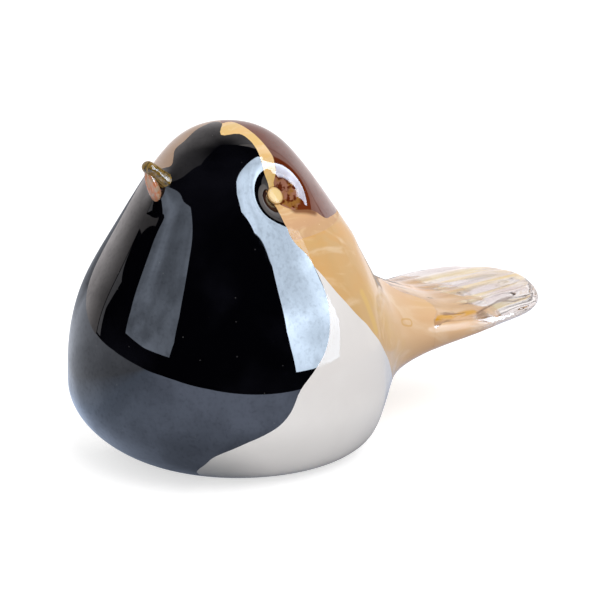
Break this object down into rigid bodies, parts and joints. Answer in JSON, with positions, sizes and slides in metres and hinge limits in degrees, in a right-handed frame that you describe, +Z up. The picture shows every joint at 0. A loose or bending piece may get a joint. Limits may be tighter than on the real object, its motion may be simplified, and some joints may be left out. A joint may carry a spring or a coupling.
{
  "type": "glass bird figurine",
  "caption": "Solid-looking blown glass bird that stands on a ground flat foot, with layered colours under a clear casing, a pinched beak and a ribbed clear tail paddle.",
  "frame": {"origin": "middle of the flat ground foot, on the surface the bird stands on", "axes": "+Z up; the bird faces -Y and its tail points along +Y; its left side is +X"},
  "size_m": [0.08, 0.141, 0.0845],
  "materials": {
    "clear_glass": "clear, fire-polished and smooth",
    "opal_glass": "opaque warm white under a polished clear skin",
    "black_glass": "opaque black under a polished clear skin",
    "brown_glass": "dark red brown, a little see-through, under a polished clear skin",
    "amber_glass": "milky amber, mottled, under a polished clear skin",
    "peach_glass": "milky peach under a polished clear skin",
    "gold_glass": "clear golden, polished, with sharp pinched edges"
  },
  "bodies": {
    "root": {"clear_casing": "clear_glass", "opal_bubble": "opal_glass", "black_bib": "black_glass", "brown_cap": "brown_glass", "amber_back": "amber_glass", "brow_stripe_left": "peach_glass", "brow_stripe_right": "peach_glass", "eye_dot_left": "peach_glass", "eye_dot_right": "peach_glass", "eye_ring_left": "black_glass", "eye_ring_right": "black_glass", "beak_upper": "gold_glass", "beak_lower": "peach_glass", "tail_paddle": "clear_glass", "tail_amber_tongue": "amber_glass"}
  },
  "joints": []
}
